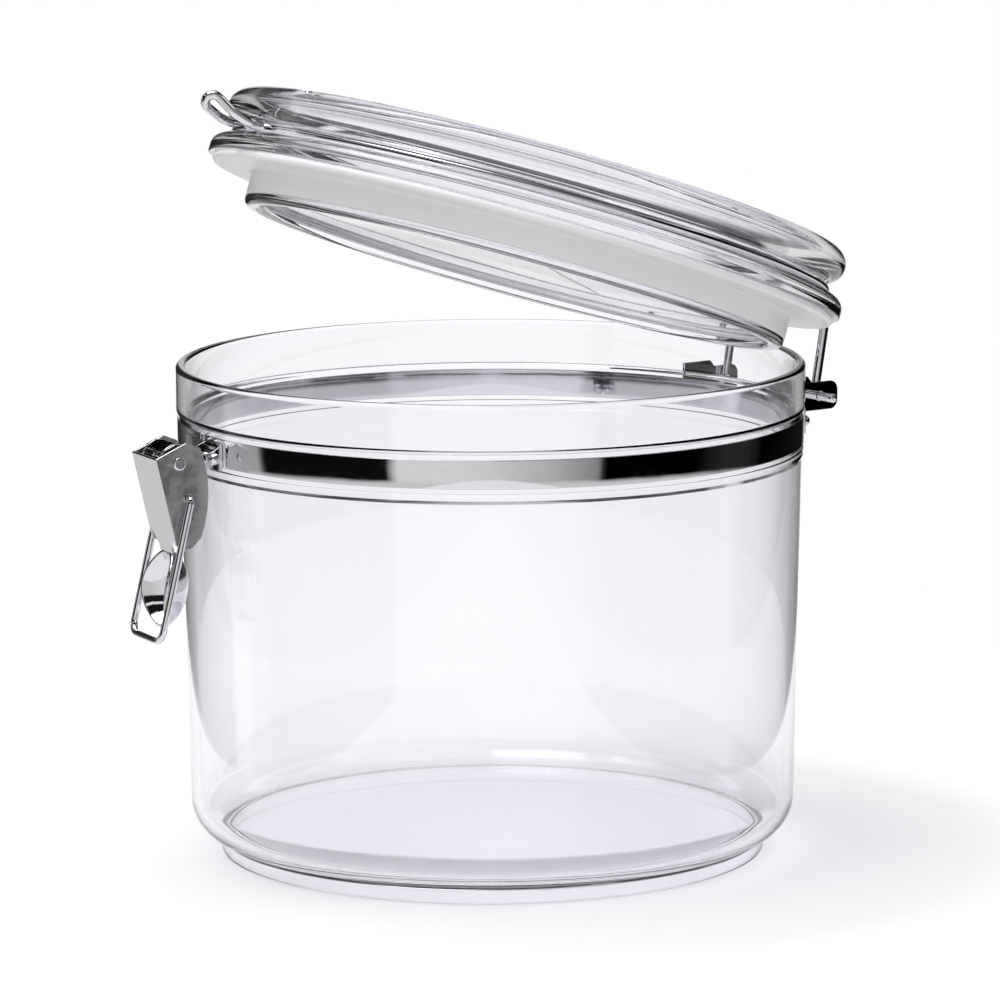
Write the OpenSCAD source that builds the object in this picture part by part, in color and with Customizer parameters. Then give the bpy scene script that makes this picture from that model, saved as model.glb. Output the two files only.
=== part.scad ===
// Clamp-lid food canister: a clear round jar with a steel neck band, a hinged hollow lid
// carried by a wire bail, and a toggle latch whose link pulls down the bail's front eye.
// Millimetres, +Z up, origin on the table under the jar's axis, hinge towards +Y.

/* [Jar] */
// Height of the jar to the top of its rim
jar_h = 157; // [120:1:240]
// Outer radius of the collar round the mouth
collar_r = 100; // [85:1:130]
// Thickness of the jar's wall
wall_t = 3; // [2.4:0.1:4]
// Thickness of the jar's floor
floor_t = 3.2; // [2:0.1:6]
// Draft of the jar's wall, in degrees
draft = 1.2; // [0:0.1:2]
// Height of the collar above its lower edge
collar_h = 15.3; // [13:0.1:20]
// How far the collar stands out over the band's seat
collar_step = 1.2; // [0.9:0.1:2]
// Radius of the outside corner round the base
base_corner_r = 12; // [10:0.5:16]
// Height of the foot ring under the floor
foot_h = 5; // [3:0.1:8]
// Width of the foot ring's rim
foot_w = 2.6; // [2:0.1:4]
// How far the foot ring stands in from the wall
foot_inset = 9.6; // [6:0.2:12]

/* [Neck band] */
// Height of the band
band_h = 8.9; // [7:0.1:12]
// Thickness of the band's steel
band_t = 0.8; // [0.5:0.1:1]
// Bare seat between the band and the collar
band_drop = 1.5; // [0.5:0.1:3]
// Gap between the band's two ends, under the latch bracket
band_end_gap = 2; // [1:0.5:6]

/* [Lid] */
// How far the lid stands open at rest, in degrees
lid_open = 18.9; // [0:1:60]
// How far the plug stands in from the jar's collar
plug_in = 11.4; // [10:0.2:14]
// Depth of the plug below the rim
plug_depth = 11; // [9:0.5:16]
// Depth of the recess in the underside of the plug
plug_recess = 4; // [1:0.5:6]
// Width of the rounded lip round the plug's underside
plug_lip_w = 5.5; // [4:0.5:9]
// Thickness of the gasket on the jar's rim
gasket_t = 2.4; // [1.5:0.1:3.5]
// Thickness of the gasket's sleeve round the plug
sleeve_t = 1.6; // [1:0.1:2.4]
// Thickness of the lid's clear shells
shell_t = 2.5; // [1.8:0.1:3]
// How far the lid's flange stands out over the jar's collar
flange_over = 3.8; // [1:0.1:5]
// Height of the lid's flange
flange_h = 6.6; // [5:0.1:9]
// Height of the groove for the bail
waist_h = 4.1; // [3.6:0.1:6]
// Depth of the groove under the edge of the dome
waist_depth = 6.2; // [5:0.1:8]
// Height of the dome over the groove
dome_h = 11.2; // [9:0.1:20]
// How far the dome's edge stands out over the jar's collar
dome_over = 1.5; // [-1:0.1:3]

/* [Bail and hinge] */
// Diameter of the bail's wire
bail_d = 3; // [2:0.1:3.2]
// Distance of the hinge axis from the jar's axis, past the collar
hinge_out = 13.7; // [11:0.1:18]
// Depth of the hinge axis below the rim
hinge_drop = 18.7; // [17:0.1:21]
// Outer face of each hinge ear, from the middle
ear_x = 25.5; // [22:0.5:40]
// Height of a hinge ear
ear_h = 9.4; // [7:0.1:12]
// Thickness of the ears and bracket plates
plate_t = 1.2; // [0.8:0.1:1.6]
// Lean of the bail's legs towards the lid, in degrees
leg_lean = 8.5; // [4:0.5:10]
// Radius of the bail's bends
bail_bend_r = 5; // [4:0.5:6]
// Reach of the bail's front eye past the groove
eye_reach = 21.6; // [17:0.1:24]
// Rise of the eye over the groove
eye_rise = 5.3; // [4:0.1:8]

/* [Latch] */
// Turn of the latch from straight opposite the hinge, in degrees
latch_turn = 9; // [0:0.5:12]
// Distance of the lever's pivot from the jar's axis, past the collar
pivot_out = 12; // [11.6:0.1:16]
// Depth of the lever's pivot below the rim
pivot_drop = 23.9; // [22.5:0.1:25.5]
// Width of the lever
lever_w = 19; // [18:0.5:26]
// Thickness of the lever's steel
lever_t = 1; // [0.8:0.1:1.2]
// Length of the lever from its pivot down to the neck of the tab
lever_len = 27; // [24:0.5:32]
// Lean of the lever's front face at rest, in degrees
lever_lean = 13.2; // [10:0.2:14]
// Width of the thumb tab
tab_w = 19.4; // [14:0.2:20]
// Length of the thumb tab
tab_len = 24; // [20:0.5:30]
// Depth of the thumb tab's bowl
tab_dip = 5.4; // [2:0.2:6]
// Turn of the thumb tab out of the lever's front face, in degrees
tab_kick = 21; // [10:1:30]
// Diameter of the link's wire
link_d = 2.4; // [1.8:0.1:2.6]
// Length of the link from its pivot to the middle of its bar
link_len = 45.5; // [43:0.5:56]
// Distance from the lever's pivot down to the link's pivot
link_drop = 11.4; // [9:0.1:13]
// Lean of the hanging link, in degrees
link_lean = 13.7; // [0:0.1:20]

/* [Hidden] */
$fn = 96;

// Clearances
running = 0.05;      // round a pin that turns
seated = 0.05;       // between pieces that bear on each other
band_ease = 0.1;     // between the band and its seat
side_gap = 0.4;      // between a moving wire and the plate beside it
lap = 0.4;           // how far shapes of one piece reach into each other

// Jar
clear_tint = [0.86, 0.88, 0.94, 0.45];
steel = [0.78, 0.78, 0.80];
milky = [0.92, 0.92, 0.93, 0.9];
seat_r = collar_r - collar_step;
collar_z = jar_h - collar_h;
collar_edge_r = collar_step;
rim_round = wall_t / 2;
band_z = collar_z - band_drop - band_h;
ledge_top = band_z - 1.5;
ledge_h = 3.3;
ledge_taper = 1.2;
ledge_edge = 0.4;
ledge_r = (collar_r + seat_r) / 2;
body_top_r = seat_r + 0.1;
base_z = foot_h + base_corner_r;
base_r = body_top_r - (ledge_top - ledge_h - base_z) * tan(draft);
foot_r = base_r - foot_inset;
foot_round = 0.6;
inner_corner_r = base_corner_r - wall_t;
inside_floor = foot_h + floor_t;
mouth_r = collar_r - wall_t;
mouth_depth = collar_h - 1.3;
mouth_taper = 1.5;

// Band and plates
band_r = seat_r + band_ease;
band_out_r = band_r + band_t;
plate_r = band_out_r + seated;
plate_out_r = plate_r + plate_t;
plate_edge = 0.2;                        // the plates stop this short of the band's edges
rivet_r = 1;
rivet_head_r = 1.9;
rivet_lip = 0.2;                         // straight rim under a rivet's dome
rivet_z = band_z + 0.42 * band_h;

// Lid, drawn closed on the jar
closed_z = jar_h + 2 * seated;
flange_z = closed_z + gasket_t;
flange_top = flange_z + flange_h;
waist_top = flange_top + waist_h;
lid_top = waist_top + dome_h;
flange_r = collar_r + flange_over;
flange_corner_r = 4;
dome_r = collar_r + dome_over;
dome_edge_r = dome_h / 2;
waist_r = dome_r - waist_depth;
gasket_r = collar_r + 1.8;
gasket_edge = 0.8;
lid_edge = 0.5;
lip_r = 2;
plug_r = collar_r - plug_in;
sleeve_r = plug_r - sleeve_t;
sleeve_h = plug_depth - 3;

// Bail, drawn with the lid closed
bail_r = bail_d / 2;
ring_r = waist_r + bail_r + 0.1;
ring_z = flange_top + bail_r + 0.1;
hinge_y = collar_r + hinge_out;
hinge_z = jar_h - hinge_drop;
ear_in = ear_x - plate_t;
pin_r = bail_r + 0.02;
pin_bend_r = bail_r + side_gap;
leg_x = ear_in - pin_bend_r;
ear_round = 3;
ear_over = 7.3;                          // how far an ear reaches past the hinge
ear_out_y = hinge_y + ear_over;
ear_step_y = hinge_y - 3;                // where an ear's taller root ends
ear_step = 2.1;
ear_foot = 26;                           // length of an ear's foot along the band
ear_end_x = ear_x + ear_foot;
hinge_rivet_x = [ear_x + 0.46 * ear_foot, ear_x + 0.84 * ear_foot];
pin_over = 6.9;                          // how far a hinge pin stands out of its ear
eye_half_w = 12;                         // half the width of the front of the ring that the eye takes

// Latch, drawn in a frame of its own: +Y outwards, turned to its place round the jar
latch_angle = 180 - latch_turn;
pivot_y = collar_r + pivot_out;
pivot_z = jar_h - pivot_drop;
lever_pin_r = 1.6;
lever_head_r = 2.1;
lever_head_h = 0.6;
latch_ear_x = lever_w / 2 - lever_t - 1.5;
latch_nose_r = 5.8;
latch_plate_half = 12.8;
latch_rivet_x = latch_ear_x + rivet_head_r + 1;
latch_rivet_z = rivet_z - 1.2;
latch_low_z = band_z - 0.9;              // lower edge of the bracket
latch_root_z = pivot_z + 2;              // top of the latch ears where they leave the plate
front_f = latch_nose_r + 0.5 + lever_t;  // the lever's front face, from its pivot
lever_top_s = 3.6;
lever_crown = [-3.8, 5.7];               // top corner of a side, behind its pivot
lever_heel = [2.2, -18];                 // foot of a side's back edge, and where that edge starts
lever_back_f = -12;
lever_toe = 2.5;                         // corner cut off the foot of a side
belly_r = 39.7;
belly_centre = [31.4, -2.5];
neck_w = 9;
neck_taper = 6;
neck_over = 1.5;
tab_t = 1;
tab_bowl = tab_w / 2 - 1.9;
tab_rim_h = 1.8;
tab_rim_t = 0.8;
tab_bevel = 0.6;
link_r = link_d / 2;
link_pin_r = link_r + 0.02;
link_x = lever_w / 2 + 2 * side_gap + link_r;
link_grip = 0.9;                         // how far the link's ends reach in past the lever's sides
link_back = 15.2;                        // how far its pivot lies back from below the lever's, in degrees
link_corner_r = 4;
link_y = pivot_y - link_drop * sin(link_back);
link_z = pivot_z - link_drop * cos(link_back);

// Points of an arc round a centre in a plane
function arc(cx, cy, r, a0, a1, n = 8) =
    [for (i = [0:n]) [cx + r * cos(a0 + (a1 - a0) * i / n), cy + r * sin(a0 + (a1 - a0) * i / n)]];

// Points of an arc in space, in the plane of two unit vectors
function arc3(centre, e1, e2, r, a0, a1, n = 6) =
    [for (i = [0:n]) let (a = a0 + (a1 - a0) * i / n) centre + r * (cos(a) * e1 + sin(a) * e2)];

function unit(v) = v / norm(v);

// A smooth curve through points, without its two end points
function spline(p, steps = 4) =
    [for (i = [1:len(p) - 3], k = [0:steps - 1])
        let (t = k / steps, a = p[i - 1], b = p[i], c = p[i + 1], d = p[i + 2])
        0.5 * (2 * b + (c - a) * t + (2 * a - 5 * b + 4 * c - d) * t * t
               + (3 * b - a - 3 * c + d) * t * t * t)];

// Direction of a path at each of its points
function headings(p) =
    [for (i = [0:len(p) - 1]) unit(p[min(i + 1, len(p) - 1)] - p[max(i - 1, 0)])];

// A side direction carried along the path without twist
function sides_of(h, side) =
    [for (i = 0, u = unit(side - (side * h[0]) * h[0]); i < len(h);
          i = i + 1, u = i < len(h) ? unit(u - (u * h[i]) * h[i]) : u) u];

// Round wire swept along a path
module wire(path, r, side, n = 12) {
    h = headings(path);
    u = sides_of(h, side);
    points = [for (i = [0:len(path) - 1], k = [0:n - 1])
        let (a = 360 * k / n) path[i] + r * (cos(a) * u[i] + sin(a) * cross(h[i], u[i]))];
    walls = [for (i = [0:len(path) - 2], k = [0:n - 1])
        let (j = (k + 1) % n) each [[i * n + k, (i + 1) * n + k, (i + 1) * n + j],
                                    [i * n + k, (i + 1) * n + j, i * n + j]]];
    caps = [[for (k = [0:n - 1]) k], [for (k = [n - 1:-1:0]) (len(path) - 1) * n + k]];
    polyhedron(points, concat(walls, caps));
}

// Stretch of a hoop centred on +Y
module hoop(r0, r1, z0, z1, half) {
    rotate([0, 0, 90 - half])
        rotate_extrude(angle = 2 * half)
            translate([r0, z0]) square([r1 - r0, z1 - z0]);
}

// Cylinder across the part, along X
module across(x0, x1, r) {
    translate([x0, 0, 0]) rotate([0, 90, 0]) cylinder(h = x1 - x0, r = r);
}

// Plate standing in the YZ plane from x = 0
module upright(t) {
    rotate([90, 0, 90]) linear_extrude(t) children();
}

// Place round the jar, at a distance to one side of +Y
module at_side(x, r) {
    rotate([0, 0, -asin(x / r)]) children();
}

// Rivet through a plate and the band, pointing outwards along +Y
module rivet(z = rivet_z) {
    shank = plate_out_r - band_r;
    translate([0, band_r, z]) rotate([-90, 0, 0])
        rotate_extrude() polygon(concat(
            [[0, 0], [rivet_r, 0], [rivet_r, shank], [rivet_head_r, shank]],
            arc(0, shank + rivet_lip, rivet_head_r, 0, 90, 8)));
}

// Hole that a rivet goes through
module rivet_hole(z = rivet_z) {
    translate([0, band_r - 2, z]) rotate([-90, 0, 0])
        cylinder(h = 6, r = rivet_r + seated / 2);
}

module jar() {
    foot_start = -acos((foot_r - base_r + base_corner_r) / base_corner_r);
    outside = concat(
        [[0, foot_h], [foot_r - foot_w, foot_h]],
        arc(foot_r - foot_w + foot_round, foot_round, foot_round, 180, 270, 3),
        arc(foot_r - foot_round, foot_round, foot_round, 270, 360, 3),
        arc(base_r - base_corner_r, base_z, base_corner_r, foot_start, 0, 12),
        [[body_top_r, ledge_top - ledge_h], [ledge_r, ledge_top - ledge_h + ledge_taper],
         [ledge_r, ledge_top - ledge_edge], [seat_r, ledge_top]],
        arc(collar_r - collar_edge_r, collar_z + collar_edge_r, collar_edge_r, -90, 0, 5),
        arc(collar_r - rim_round, jar_h - rim_round, rim_round, 0, 180, 12));
    inside = concat(
        [[mouth_r, jar_h - mouth_depth],
         [body_top_r - wall_t, jar_h - mouth_depth - mouth_taper],
         [body_top_r - wall_t, ledge_top - ledge_h]],
        arc(base_r - wall_t - inner_corner_r, inside_floor + inner_corner_r, inner_corner_r,
            0, -90, 10),
        [[0, inside_floor]]);
    color(clear_tint) rotate_extrude($fn = 180) polygon(concat(outside, inside));
}

module neck_band() {
    gap = band_end_gap / band_out_r * 90 / PI;
    color(steel) difference() {
        rotate([0, 0, latch_angle]) rotate([0, 0, 180])
            hoop(band_r, band_out_r, band_z, band_z + band_h, 180 - gap);
        rotate([0, 0, latch_angle])
            for (s = [-1, 1]) at_side(s * latch_rivet_x, band_out_r) rivet_hole(latch_rivet_z);
        for (s = [-1, 1], x = hinge_rivet_x) at_side(s * x, band_out_r) rivet_hole();
    }
}

// Outline of a latch ear: a round nose about the lever's pin, running in to the plate
module latch_ear_outline() {
    root = plate_r + lap;
    translate([pivot_y, pivot_z]) circle(latch_nose_r);
    polygon([[root, latch_low_z], [root, latch_root_z], [pivot_y - 1, pivot_z + latch_nose_r - 0.1],
             [pivot_y - 1, pivot_z - latch_nose_r + 0.1]]);
}

module latch_bracket() {
    half = asin(latch_plate_half / plate_r);
    color(steel) rotate([0, 0, latch_angle]) difference() {
        union() {
            hoop(plate_r, plate_out_r, latch_low_z, latch_low_z + band_h - 2 * plate_edge, half);
            for (x = [-latch_ear_x, latch_ear_x - plate_t])
                translate([x, 0, 0]) upright(plate_t) latch_ear_outline();
        }
        translate([0, pivot_y, pivot_z])
            across(-latch_ear_x - 1, latch_ear_x + 1, lever_pin_r + running);
        for (s = [-1, 1]) at_side(s * latch_rivet_x, band_out_r) rivet_hole(latch_rivet_z);
    }
}

module latch_rivets() {
    color(steel) rotate([0, 0, latch_angle])
        for (s = [-1, 1]) at_side(s * latch_rivet_x, band_out_r) rivet(latch_rivet_z);
}

// Outline of a hinge ear: rounded outer corners, and a taller root with its corner cut off
module hinge_ear_outline() {
    low = hinge_z - ear_h / 2;
    top = hinge_z + ear_h / 2;
    root = sqrt(pow(plate_r + lap, 2) - pow(ear_in, 2));
    translate([root, low]) square([ear_out_y - ear_round - root, ear_h]);
    translate([root, low + ear_round]) square([ear_out_y - root, ear_h - 2 * ear_round]);
    polygon([[root, low], [root, top + ear_step], [ear_step_y - ear_step, top + ear_step],
             [ear_step_y, top - lap], [ear_step_y, low]]);
    for (z = [low + ear_round, low + ear_h - ear_round])
        translate([ear_out_y - ear_round, z]) circle(ear_round);
}

// Right-hand hinge ear: a foot along the band, bent out into the ear
module hinge_ear() {
    from = asin(ear_in / plate_r);
    to = asin(ear_end_x / plate_r);
    color(steel) difference() {
        union() {
            rotate([0, 0, -(from + to) / 2])
                hoop(plate_r, plate_out_r, band_z + plate_edge, band_z + band_h - plate_edge,
                     (to - from) / 2);
            translate([ear_in, 0, 0]) upright(plate_t) hinge_ear_outline();
        }
        translate([0, hinge_y, hinge_z]) across(ear_in - 1, ear_x + 1, pin_r + running);
        for (x = hinge_rivet_x) at_side(x, band_out_r) rivet_hole();
    }
}

module hinge_ear_right() {
    hinge_ear();
}

module hinge_ear_left() {
    mirror([1, 0, 0]) hinge_ear();
}

module hinge_rivets() {
    color(steel)
        for (s = [-1, 1], x = hinge_rivet_x) at_side(s * x, band_out_r) rivet();
}

// Rivet that the lever turns on, through both latch ears
module lever_pin() {
    reach = lever_w / 2 + 2 * seated;
    color(steel) rotate([0, 0, latch_angle]) translate([0, pivot_y, pivot_z]) {
        across(-reach, reach, lever_pin_r);
        for (s = [0, 1]) mirror([s, 0, 0])
            translate([reach, 0, 0]) rotate([0, 90, 0])
                rotate_extrude() polygon(concat(
                    [[0, 0], [lever_head_r, 0]],
                    arc(lever_head_r - lever_head_h, 0, lever_head_h, 0, 90, 5),
                    [[0, lever_head_h]]));
    }
}

// Side of the lever, in its own frame: front face vertical, pivot at the origin
module lever_side_outline() {
    low = -lever_len;
    intersection() {
        polygon([[front_f, lever_top_s], [front_f, low + lever_toe], [front_f - lever_toe, low],
                 [lever_heel.x, low], [lever_back_f, lever_heel.y], [lever_back_f, 0], lever_crown]);
        translate(belly_centre) circle(belly_r, $fn = 180);
    }
}

// Front face of the lever, narrowing to the neck
module lever_front_outline() {
    half = lever_w / 2;
    shoulder = 1 + neck_taper - lever_len;
    polygon([[-half, lever_top_s], [half, lever_top_s], [half, shoulder],
             [neck_w / 2, shoulder - neck_taper], [neck_w / 2, -lever_len - neck_over],
             [-neck_w / 2, -lever_len - neck_over], [-neck_w / 2, shoulder - neck_taper],
             [-half, shoulder]]);
}

// Point of the thumb tab's bowl, at a share of the way from its middle to its edge
function tab_point(share) = [tab_bowl * share, -tab_dip * (1 - share * share)];

// Half section of the thumb tab's dish, from its middle to its turned edge
function tab_section(half = tab_w / 2, steps = 6) = concat(
    [for (i = [0:steps]) tab_point(i / steps)],
    [[half - tab_bevel, 0], [half, -tab_bevel], [half, -tab_rim_h],
     [half - tab_rim_t, -tab_rim_h], [half - tab_rim_t, -tab_t]],
    [for (i = [steps:-1:0]) tab_point(i / steps) - [0, tab_t]]);

// Thumb tab: a long dish with a turned edge, hanging down from the origin
module tab() {
    half = tab_w / 2;
    straight = tab_len - tab_w;
    translate([0, 0, -half]) {
        rotate([-90, 0, 0]) rotate([0, 0, 180])
            rotate_extrude(angle = 180) polygon(tab_section());
        translate([0, 0, -straight]) {
            rotate([-90, 0, 0])
                rotate_extrude(angle = 180) polygon(tab_section());
            for (s = [0, 1]) mirror([s, 0, 0])
                linear_extrude(straight) polygon(tab_section());
        }
    }
}

module lever() {
    half = lever_w / 2;
    color(steel) rotate([0, 0, latch_angle]) translate([0, pivot_y, pivot_z])
        rotate([-lever_lean, 0, 0]) difference() {
            union() {
                for (x = [-half, half - lever_t])
                    translate([x, 0, 0]) upright(lever_t) lever_side_outline();
                translate([0, front_f, 0]) rotate([90, 0, 0])
                    linear_extrude(lever_t) lever_front_outline();
                translate([0, front_f, -lever_len - 1]) rotate([tab_kick, 0, 0]) tab();
            }
            across(-half - 1, half + 1, lever_pin_r + running);
            rotate([lever_lean, 0, 0]) translate([0, link_y - pivot_y, link_z - pivot_z])
                across(-half - 1, half + 1, link_pin_r + running);
        }
}

// Link: a wire loop whose ends turn inwards through the lever's sides
module latch_link() {
    x = link_x;
    c = link_corner_r;
    side = [1, 0, 0];
    up = [0, 0, 1];
    bend = link_r + side_gap;
    inner = lever_w / 2 - lever_t - link_grip;
    turn_x = x - bend;
    path = concat(
        [[lever_w / 2, 0, 0]],
        arc3([turn_x, 0, -bend], side, up, bend, 90, 0),
        arc3([x - c, 0, c - link_len], side, up, c, 0, -90),
        arc3([c - x, 0, c - link_len], side, up, c, -90, -180),
        arc3([-turn_x, 0, -bend], side, up, bend, 180, 90),
        [[-lever_w / 2, 0, 0]]);
    color(steel) rotate([0, 0, latch_angle]) translate([0, link_y, link_z])
        rotate([link_lean, 0, 0]) {
            wire(path, link_r, [0, 1, 0]);
            for (s = [0, 1]) mirror([s, 0, 0])
                across(inner, lever_w / 2 + lap, link_pin_r);
        }
}

// Turns what is drawn closed to where the open lid stands
module with_lid() {
    translate([0, hinge_y, hinge_z]) rotate([-lid_open, 0, 0])
        translate([0, -hinge_y, -hinge_z]) children();
}

// Point of the bail's ring, by its angle from +Y round through +X
function ring_point(a) = [ring_r * sin(a), ring_r * cos(a), ring_z];

// Point near the eye: to the side, out from the ring's radius, and up from its height
function eye_point(w, out, up) =
    let (t = latch_turn)
    [w * cos(t) - (ring_r + out) * sin(t), -w * sin(t) - (ring_r + out) * cos(t), ring_z + up];

// Half of the bail, from its hinge pin to its ring, on the +X side
function bail_side() =
    let (up = [0, -sin(leg_lean), cos(leg_lean)],
         b = bail_bend_r,
         leg_top = ring_z - b + b * sin(leg_lean),
         over_y = hinge_y - (leg_top - hinge_z) * tan(leg_lean) - b * cos(leg_lean),
         a = asin((leg_x + b) / (ring_r + b)))
    concat(
        [[ear_in + lap, hinge_y, hinge_z]],
        arc3([leg_x + pin_bend_r, hinge_y, hinge_z] + pin_bend_r * up, -up, [-1, 0, 0],
             pin_bend_r, 0, 90),
        arc3([leg_x, over_y, ring_z - b], [0, 1, 0], [0, 0, 1], b, leg_lean, 90),
        arc3((ring_r + b) * [sin(a), cos(a), 0] + [0, 0, ring_z], [1, 0, 0], [0, 1, 0],
             b, 180, 270 - a));

// The bail's front eye: the wire leaves the groove, dips over the flange, and turns back
// on itself in a tall narrow loop
function bail_eye() =
    let (w = eye_half_w, flat = sqrt(ring_r * ring_r - w * w) - ring_r, r = eye_reach,
         z = eye_rise)
    spline([eye_point(1.4 * w, 1.9 * flat, 0), eye_point(w, flat, 0), eye_point(8, 0.3, 0),
            eye_point(5, 0.1 * r, 0), eye_point(4.4, 0.22 * r, 0), eye_point(4, 0.34 * r, 0.04 * z),
            eye_point(3.4, 0.46 * r, 0.17 * z), eye_point(2.8, 0.61 * r, 0.37 * z),
            eye_point(2.2, 0.74 * r, 0.67 * z), eye_point(1.6, 0.87 * r, 0.96 * z),
            eye_point(1, 0.94 * r, 0.98 * z), eye_point(0.3, 0.995 * r, 0.78 * z),
            eye_point(-0.4, 0.995 * r, 0.49 * z), eye_point(-1.1, 0.94 * r, 0.28 * z),
            eye_point(-1.8, 0.81 * r, 0.09 * z), eye_point(-2.5, 0.67 * r, -0.09 * z),
            eye_point(-3.1, 0.54 * r, -0.15 * z), eye_point(-3.8, 0.39 * r, -0.13 * z),
            eye_point(-5, 0.22 * r, 0), eye_point(-8, 0.3, 0), eye_point(-w, flat, 0),
            eye_point(-1.4 * w, 1.9 * flat, 0)]);

module bail() {
    side = bail_side();
    start = asin((leg_x + bail_bend_r) / (ring_r + bail_bend_r));
    eye = 180 + latch_turn;
    eye_half = asin(eye_half_w / ring_r);
    mirrored = [for (i = [len(side) - 1:-1:0]) [-side[i].x, side[i].y, side[i].z]];
    path = concat(
        side,
        [for (i = [1:23]) ring_point(start + (eye - eye_half - start) * i / 24)],
        bail_eye(),
        [for (i = [0:23]) ring_point(eye + eye_half + (360 - start - eye - eye_half) * i / 24)],
        mirrored);
    color(steel) with_lid() {
        wire(path, bail_r, [0, 0, 1]);
        for (s = [0, 1]) mirror([s, 0, 0])
            translate([0, hinge_y, hinge_z]) across(ear_in - seated, ear_x + pin_over, pin_r);
    }
}

// Lower half of the lid: the plug's pan, the flange and the wall inside the bail's groove
module lid_insert() {
    low = closed_z - plug_depth;
    pan_r = sleeve_r - seated;
    pan_in = pan_r - shell_t;
    recess = low + plug_recess;
    shelf = flange_top - shell_t / 2;
    color(clear_tint) with_lid() rotate_extrude($fn = 180) polygon(concat(
        [[0, recess], [plug_r - plug_lip_w - lid_edge, recess]],
        arc(plug_r - plug_lip_w + lip_r, low + lip_r, lip_r, 180, 270, 4),
        arc(plug_r - lip_r, low + lip_r, lip_r, 270, 360, 4),
        [[plug_r, closed_z - sleeve_h - seated], [pan_r, closed_z - sleeve_h - seated],
         [pan_r, flange_z + seated], [flange_r - lid_edge, flange_z + seated],
         [flange_r, flange_z + seated + lid_edge]],
        arc(flange_r - flange_corner_r, flange_top - flange_corner_r, flange_corner_r, 0, 90, 8),
        [[waist_r, flange_top], [waist_r, waist_top], [waist_r - shell_t, waist_top],
         [waist_r - shell_t, shelf], [pan_in, shelf], [pan_in, recess + shell_t],
         [0, recess + shell_t]]));
}

// Upper half of the lid: a round-edged cap that stands on the groove's wall
module lid_dome() {
    foot = waist_top + seated;
    round_c = dome_r - dome_edge_r;
    color(clear_tint) with_lid() rotate_extrude($fn = 180) polygon(concat(
        [[waist_r - shell_t, foot], [round_c, foot]],
        arc(round_c, foot + dome_edge_r, dome_edge_r, -80, 90, 16),
        [[0, foot + dome_h], [0, foot + dome_h - shell_t],
         [waist_r - shell_t - lip_r, foot + dome_h - shell_t],
         [waist_r - shell_t, foot + dome_h - shell_t - lip_r]]));
}

// Gasket: a sleeve round the plug with a flat ring that bears on the jar's rim
module gasket() {
    round_r = gasket_t / 2;
    color(milky) with_lid() rotate_extrude($fn = 180) polygon(concat(
        [[sleeve_r, closed_z - sleeve_h], [plug_r - lid_edge, closed_z - sleeve_h],
         [plug_r, closed_z - sleeve_h + lid_edge], [plug_r, closed_z - gasket_edge],
         [plug_r + gasket_edge, closed_z]],
        arc(gasket_r - round_r, closed_z + round_r, round_r, -90, 90, 8),
        [[sleeve_r, flange_z]]));
}

jar();
neck_band();
latch_bracket();
latch_rivets();
hinge_ear_right();
hinge_ear_left();
hinge_rivets();
lever_pin();
lever();
latch_link();
bail();
lid_insert();
lid_dome();
gasket();
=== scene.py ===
"""Dresses the food canister: clear jar and lid, milky gasket, polished band, bail and latch."""

import logging
import math
from dataclasses import dataclass, field
from enum import Enum

import bmesh
import bpy
import numpy as np
from bpy.types import ColorRamp, ID, Material, Node, NodeSocket, NodeTree, Object
from mathutils import Matrix, Vector


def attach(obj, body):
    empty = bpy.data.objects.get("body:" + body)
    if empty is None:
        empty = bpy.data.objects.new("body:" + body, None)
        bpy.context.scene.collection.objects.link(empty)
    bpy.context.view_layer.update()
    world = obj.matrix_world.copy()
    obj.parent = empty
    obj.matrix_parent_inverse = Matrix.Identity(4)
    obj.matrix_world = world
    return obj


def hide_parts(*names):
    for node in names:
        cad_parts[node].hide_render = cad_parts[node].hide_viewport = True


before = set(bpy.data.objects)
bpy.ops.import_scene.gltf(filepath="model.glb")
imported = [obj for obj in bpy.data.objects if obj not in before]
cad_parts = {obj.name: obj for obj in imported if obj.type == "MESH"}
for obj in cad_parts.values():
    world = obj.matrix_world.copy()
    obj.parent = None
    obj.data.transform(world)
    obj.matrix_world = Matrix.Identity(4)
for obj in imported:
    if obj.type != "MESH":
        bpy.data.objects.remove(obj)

LOG = logging.getLogger("canister")
MM = 0.001
TAU = 2.0 * math.pi
ROUND_STEPS = 320
WIRE_DOME = 0.45
WIRE_TIP = 0.02
SMEAR_CUT = (0.42, 0.7)
HAIR_STRETCH = (900.0, 900.0, 60.0)
HAIR_SHARE = 0.35

Pair = tuple[float, float]
Place = tuple[float, float, float]
Colour = tuple[float, float, float, float]


# ---------------- shapes


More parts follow.
